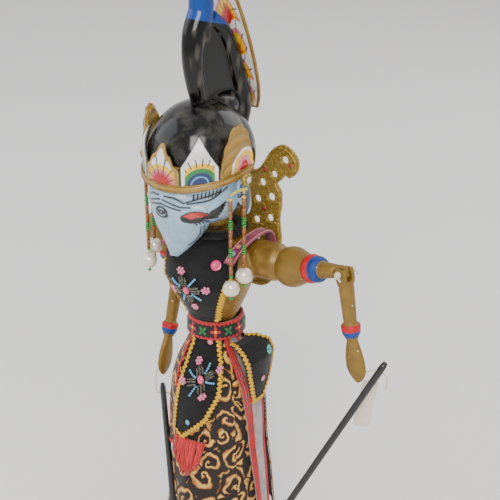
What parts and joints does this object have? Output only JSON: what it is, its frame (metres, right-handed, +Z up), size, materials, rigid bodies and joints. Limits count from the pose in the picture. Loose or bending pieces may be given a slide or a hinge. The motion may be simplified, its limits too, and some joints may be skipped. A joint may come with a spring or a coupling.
{
  "type": "wayang golek rod puppet",
  "caption": "Carved wooden rod puppet in batik and velvet costume, with jointed arms, control rods and a turning head on a display stand.",
  "frame": {"origin": "centre of the display stand's underside, on the surface it stands on", "axes": "+Z up along the head rod, -Y the way the puppet faces, +X the puppet's own left"},
  "size_m": [0.2095, 0.1788, 0.4585],
  "materials": {
    "gold_paint": "dull gold paint on carved wood, worn at the edges",
    "gilt_leather": "pierced leather board painted gold",
    "face_paint": "pale blue-grey satin paint on carved wood with dark line work",
    "black_gloss": "glossy black lacquer with dust",
    "stand_wood": "oiled hardwood",
    "velvet": "black velvet with gold ric-rac and glass beads",
    "batik": "brown and cream batik cotton with scrolls",
    "ribbon": "woven ribbon with small flowers",
    "red_cloth": "red felt and yarn",
    "mauve_cloth": "faded mauve cotton with a red edge",
    "maroon_velvet": "maroon velvet with gold beads",
    "black_cloth": "black gathered ribbon",
    "cord": "twisted cotton cord",
    "beads": "green and amber glass beads",
    "pearl": "cream imitation pearl",
    "paper": "plain uncoated card"
  },
  "bodies": {
    "stand": {"stand_base": "stand_wood", "stand_socket": "stand_wood"},
    "torso": {"torso": "gold_paint", "bodice": "velvet", "collar": "black_cloth", "belt": "ribbon", "skirt": "batik", "sash_left": "mauve_cloth", "sash_right": "batik", "front_apron": "velvet", "apron_fringe": "red_cloth", "back_flap": "maroon_velvet", "side_flap": "velvet", "praba": "gilt_leather", "praba_strap_left": "red_cloth", "praba_strap_right": "red_cloth"},
    "head": {"head_rod": "stand_wood", "head": "face_paint", "hair_cap": "black_gloss", "hair_loop": "black_gloss", "crest_plate": "gilt_leather", "tiara": "gold_paint", "ear_jewel_left": "beads", "ear_jewel_right": "beads"},
    "shoulder_cord_left": {"shoulder_cord_left": "cord"},
    "upper_arm_left": {"upper_arm_left": "gold_paint"},
    "forearm_left": {"forearm_left": "gold_paint", "elbow_cord_left": "cord"},
    "hand_string_left": {"hand_string_left": "cord", "paper_tag": "paper"},
    "control_rod_left": {"control_rod_left": "black_gloss"},
    "shoulder_cord_right": {"shoulder_cord_right": "cord"},
    "upper_arm_right": {"upper_arm_right": "gold_paint"},
    "forearm_right": {"forearm_right": "gold_paint", "elbow_cord_right": "cord"},
    "hand_string_right": {"hand_string_right": "cord"},
    "control_rod_right": {"control_rod_right": "black_gloss"},
    "ear_thread_left": {"ear_thread_left": "cord"},
    "strand_left_rear": {"bead_strand_left_rear": "beads", "pearl_left_rear": "pearl"},
    "strand_left_front": {"bead_strand_left_front": "beads", "pearl_left_front": "pearl"},
    "ear_thread_right": {"ear_thread_right": "cord"},
    "strand_right_rear": {"bead_strand_right_rear": "beads", "pearl_right_rear": "pearl"},
    "strand_right_front": {"bead_strand_right_front": "beads", "pearl_right_front": "pearl"}
  },
  "joints": [
    {"name": "lift_off", "type": "slide", "parent": "stand", "child": "torso", "axis": [0, 0, 1], "range_m": [0, 0.12]},
    {"name": "head_turn", "type": "hinge", "parent": "torso", "child": "head", "pos_m": [0, 0, 0.271], "axis": [0, 0, 1], "range_deg": [-55, 55], "deforming": ["bead_strand_left_rear", "bead_strand_left_front", "pearl_left_rear", "pearl_left_front", "bead_strand_right_rear", "bead_strand_right_front", "pearl_right_rear", "pearl_right_front"]},
    {"name": "left_arm_swing", "type": "hinge", "parent": "torso", "child": "shoulder_cord_left", "pos_m": [0.059, 0.012, 0.2496], "axis": [-1, 0, 0], "range_deg": [-2, 75]},
    {"name": "left_arm_raise", "type": "hinge", "parent": "shoulder_cord_left", "child": "upper_arm_left", "pos_m": [0.059, 0.012, 0.2496], "axis": [0, -1, 0], "range_deg": [-1, 55]},
    {"name": "left_elbow_bend", "type": "hinge", "parent": "upper_arm_left", "child": "forearm_left", "pos_m": [0.106, 0.002, 0.263], "axis": [-0.1928, -0.9797, -0.0548], "range_deg": [0, 70]},
    {"name": "left_string_swing", "type": "hinge", "parent": "forearm_left", "child": "hand_string_left", "pos_m": [0.1174, 0.0035, 0.195], "axis": [0, -1, 0], "range_deg": [-1, 40], "deforming": ["hand_string_left"]},
    {"name": "left_rod_tilt", "type": "hinge", "parent": "hand_string_left", "child": "control_rod_left", "pos_m": [0.1318, 0.0082, 0.1959], "axis": [-1, 0, 0], "range_deg": [-1, 50]},
    {"name": "right_arm_swing", "type": "hinge", "parent": "torso", "child": "shoulder_cord_right", "pos_m": [-0.059, 0.012, 0.2496], "axis": [-1, 0, 0], "range_deg": [0, 70]},
    {"name": "right_arm_raise", "type": "hinge", "parent": "shoulder_cord_right", "child": "upper_arm_right", "pos_m": [-0.059, 0.012, 0.2496], "axis": [0, 1, 0], "range_deg": [0, 60]},
    {"name": "right_elbow_bend", "type": "hinge", "parent": "upper_arm_right", "child": "forearm_right", "pos_m": [-0.0605, 0.027, 0.202], "axis": [-0.9931, -0.1173, -0.0057], "range_deg": [0, 70]},
    {"name": "right_string_swing", "type": "hinge", "parent": "forearm_right", "child": "hand_string_right", "pos_m": [-0.0574, 0.0036, 0.1367], "axis": [-1, 0, 0], "range_deg": [0, 30], "deforming": ["hand_string_right"]},
    {"name": "right_rod_tilt", "type": "hinge", "parent": "hand_string_right", "child": "control_rod_right", "pos_m": [-0.0491, -0.0066, 0.1177], "axis": [0, 1, 0], "range_deg": [0, 40]},
    {"name": "left_tassel_sway", "type": "hinge", "parent": "head", "child": "ear_thread_left", "pos_m": [0.044, -0.02, 0.3116], "axis": [0, -1, 0], "range_deg": [-3, 25]},
    {"name": "left_rear_strand_swing", "type": "hinge", "parent": "ear_thread_left", "child": "strand_left_rear", "pos_m": [0.0405, -0.0185, 0.3076], "axis": [1, 0, 0], "range_deg": [0, 10]},
    {"name": "left_front_strand_swing", "type": "hinge", "parent": "ear_thread_left", "child": "strand_left_front", "pos_m": [0.037, -0.028, 0.3076], "axis": [-1, 0, 0], "range_deg": [0, 30]},
    {"name": "right_tassel_sway", "type": "hinge", "parent": "head", "child": "ear_thread_right", "pos_m": [-0.044, -0.02, 0.3116], "axis": [0, 1, 0], "range_deg": [-3, 25]},
    {"name": "right_rear_strand_swing", "type": "hinge", "parent": "ear_thread_right", "child": "strand_right_rear", "pos_m": [-0.0405, -0.0185, 0.3076], "axis": [1, 0, 0], "range_deg": [0, 10]},
    {"name": "right_front_strand_swing", "type": "hinge", "parent": "ear_thread_right", "child": "strand_right_front", "pos_m": [-0.037, -0.028, 0.3076], "axis": [-1, 0, 0], "range_deg": [0, 30]}
  ]
}
